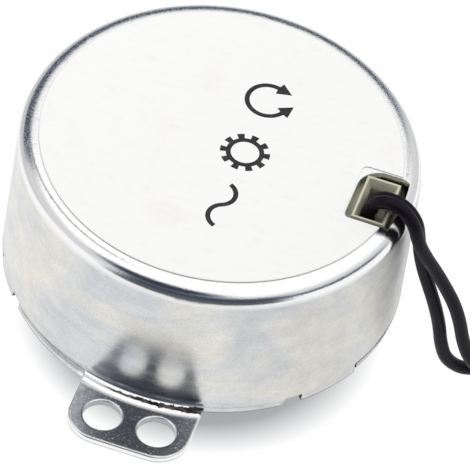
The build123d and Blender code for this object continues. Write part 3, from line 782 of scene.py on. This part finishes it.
farEnd = Vector((cos(arrowSweep), -sin(arrowSweep), 0.0)) * printArrow["radius"]
farOnward = Vector((-sin(arrowSweep), -cos(arrowSweep), 0.0)) * printArrow["headLength"]
arrowHead(farEnd, farOnward)
nearEdge = labelPrint["stroke"] / 4
selectEdges(lambda place: abs(place.y - nearEdge) < nearEdge / 8 and place.x > printArrow["radius"] / 2)
arrowHead(Vector((printArrow["radius"], nearEdge, 0.0)), Vector((0.0, printArrow["headLength"], 0.0)))
inkOn("print_arrow", arrowSweep / 2 - pi / 2, (0.0, 0.0), printArrow["place"])
print("label printed")

# floor: pale and matt, white where the camera or a reflection looks at it, and it keeps the shadow
floorLook = {
    "size": 3.0,
    "height": -0.010,
    "colour": (0.775, 0.80, 0.84, 1.0),
    "roughness": 0.9,
    "shine": 0.1,
    "glow": 0.12,
    "white": (1.0, 1.0, 1.0, 1.0),
    "shadowCentre": (0.0006, 0.0003, 0.0),
    "shadowFade": (0.018, 0.0231),
    "backTowards": (-0.5, 0.866, 0.0),
    "backFade": (0.045, 0.065),
    "halfShade": (0.62, 0.63, 0.635, 1.0),
    "tableFade": (0.065, 0.095),
    "tableEdge": (0.66, 0.80),
    "beyond": (0.10, 0.11, 0.12, 1.0),
}
bpy.ops.object.select_all(action="DESELECT")
bpy.ops.mesh.primitive_plane_add(size=floorLook["size"], location=(0, 0, floorLook["height"]))
floor = bpy.context.object
floor.name = "floor"
material, tree, shader = newMaterial("paleFloor")
rays = addNode(tree, "ShaderNodeLightPath")
mirrored = rays.outputs["Is Glossy Ray"]
seen = greaterOf(tree, rays.outputs["Is Camera Ray"], mirrored)
position = addNode(tree, "ShaderNodeTexCoord").outputs["Object"]
shader.inputs["Base Color"].default_value = floorLook["colour"]
shader.inputs["Roughness"].default_value = floorLook["roughness"]
shader.inputs["Specular IOR Level"].default_value = floorLook["shine"]
shader.inputs["Emission Color"].default_value = floorLook["white"]
plug(tree, multiplyOf(tree, seen, floorLook["glow"]), shader.inputs["Emission Strength"])


def mixShaders(tree, share, first, second):
    return addNode(tree, "ShaderNodeMixShader", {"Fac": share, 1: first, 2: second}).outputs["Shader"]


def glowOver(tree, surface, share, colour):
    glow = addNode(tree, "ShaderNodeEmission", {"Color": colour})
    return mixShaders(tree, share, surface, glow.outputs["Emission"])


# beyond the shadow's core the floor is plain white to the camera and in reflections
fromCore = vectorOf(tree, "DISTANCE", position, floorLook["shadowCentre"])
cleared = multiplyOf(tree, fadeIn(tree, fromCore, floorLook["shadowFade"]), seen)
surface = glowOver(tree, shader.outputs["BSDF"], cleared, floorLook["white"])

# a reflection finds half shade on the floor at the back, and the dim end of the table far in front
behind = vectorOf(tree, "DOT_PRODUCT", position, floorLook["backTowards"])
farBack = multiplyOf(tree, fadeIn(tree, behind, floorLook["backFade"]), mirrored)
surface = glowOver(tree, surface, farBack, floorLook["halfShade"])
towardsFront = Vector((sin(azimuth), -cos(azimuth), 0.0))
ahead = vectorOf(tree, "DOT_PRODUCT", position, towardsFront)
bearing = vectorOf(tree, "DOT_PRODUCT", vectorOf(tree, "NORMALIZE", position), towardsFront)
dim = multiplyOf(
    tree,
    fadeIn(tree, ahead, floorLook["tableFade"]),
    fadeIn(tree, bearing, floorLook["tableEdge"]),
    mirrored,
)
surface = glowOver(tree, surface, dim, floorLook["beyond"])

# seen from underneath, the floor is clear
below = addNode(tree, "ShaderNodeNewGeometry").outputs["Backfacing"]
clear = addNode(tree, "ShaderNodeBsdfTransparent").outputs["BSDF"]
plug(tree, mixShaders(tree, below, surface, clear), tree.nodes["Material Output"].inputs["Surface"])
floor.data.materials.append(material)
print("floor laid")

# studio: a wide soft light overhead and white boards around, with sides that are dim up to some height
studio = {
    "overhead": 1.10,
    "boards": 0.70,
    "boardTop": (0.45, 0.70),
    "cameraSide": {"light": 0.10, "bearing": -77.0, "edge": (0.70, 0.82), "top": (0.30, 0.48)},
    "back": {"light": 0.12, "bearing": 120.0, "edge": (0.66, 0.80), "top": (0.50, 0.70)},
    "right": {"light": 0.14, "bearing": -12.0, "edge": (0.78, 0.92), "top": (0.16, 0.28)},
    "tints": [(0.12, (0.56, 0.69, 1.0)), (0.60, (1.0, 1.0, 1.0))],
}
world = bpy.data.worlds.new("studio")
bpy.context.scene.world = world
world.use_nodes = True
tree = world.node_tree
background = tree.nodes["Background"]
direction = addNode(tree, "ShaderNodeTexCoord").outputs["Generated"]
height = addNode(tree, "ShaderNodeSeparateXYZ", {"Vector": direction}).outputs["Z"]
compass = vectorOf(tree, "NORMALIZE", vectorOf(tree, "MULTIPLY", direction, levelPart))


def bearingVector(degreesRound):
    return Vector((cos(radians(degreesRound)), sin(radians(degreesRound)), 0.0))


light = rangeOf(tree, height, studio["boards"], studio["overhead"], *studio["boardTop"])
for side in (studio["cameraSide"], studio["back"], studio["right"]):
    around = vectorOf(tree, "DOT_PRODUCT", compass, bearingVector(side["bearing"]))
    share = multiplyOf(tree, fadeIn(tree, around, side["edge"]), fadeOut(tree, height, side["top"]))
    light = blendValues(tree, share, light, side["light"])

# the dark lens and stand on the camera's side, as a soft oval
darkPatch = {
    "light": 0.06,
    "bearing": -100.0,
    "height": 38.0,
    "width": 0.52,
    "depth": 0.31,
    "edge": (0.7, 1.15),
    "sameSide": (0.0, 0.1),
}
patchOut = bearingVector(darkPatch["bearing"])
patchRise = radians(darkPatch["height"])
patchAim = patchOut * cos(patchRise) + Vector((0, 0, sin(patchRise)))
patchAcross = Vector((-patchOut.y, patchOut.x, 0.0))
patchAbove = patchAim.cross(patchAcross)
offPatch = addNode(tree, "ShaderNodeCombineXYZ", {
    "X": vectorOf(tree, "DOT_PRODUCT", direction, patchAcross / darkPatch["width"]),
    "Y": vectorOf(tree, "DOT_PRODUCT", direction, patchAbove / darkPatch["depth"]),
})
inPatch = fadeOut(tree, vectorOf(tree, "LENGTH", offPatch.outputs["Vector"]), darkPatch["edge"])
sameSide = fadeIn(tree, vectorOf(tree, "DOT_PRODUCT", direction, patchAim), darkPatch["sameSide"])
light = blendValues(tree, multiplyOf(tree, inPatch, sameSide), light, darkPatch["light"])

# the thin arm of the lamp's stand, up on the left
lampArm = {
    "light": 0.05,
    "from": (-0.687, 0.466, 0.556),
    "to": (-0.231, 0.061, 0.972),
    "edge": (0.036, 0.064),
    "end": (0.93, 0.965),
}
armFrom = Vector(lampArm["from"])
armTo = Vector(lampArm["to"])
offArm = vectorOf(tree, "DOT_PRODUCT", direction, armFrom.cross(armTo).normalized())
inArm = fadeOut(tree, mathOf(tree, "ABSOLUTE", offArm), lampArm["edge"])
alongArm = vectorOf(tree, "DOT_PRODUCT", direction, (armFrom + armTo).normalized())
inArm = multiplyOf(tree, inArm, fadeIn(tree, alongArm, lampArm["end"]))
light = blendValues(tree, inArm, light, lampArm["light"])

# plain white behind the object, and bluish where the studio is dim
rays = addNode(tree, "ShaderNodeLightPath")
light = blendValues(tree, rays.outputs["Is Camera Ray"], light, 1.0)
plug(tree, light, background.inputs["Strength"])
plug(tree, rampOf(tree, light, studio["tints"]), background.inputs["Color"])

keyLight = {"place": (-0.36, 0.22, 0.56), "size": 0.26, "power": 1.4}
bpy.ops.object.light_add(type="AREA", location=keyLight["place"])
lamp = bpy.context.object
lamp.name = "softKey"
lamp.data.size = keyLight["size"]
lamp.data.energy = keyLight["power"]
lamp.visible_glossy = False
lamp.rotation_euler = Vector(keyLight["place"]).to_track_quat("Z", "Y").to_euler()
bpy.context.scene.view_settings.view_transform = "Standard"
print("studio lit")
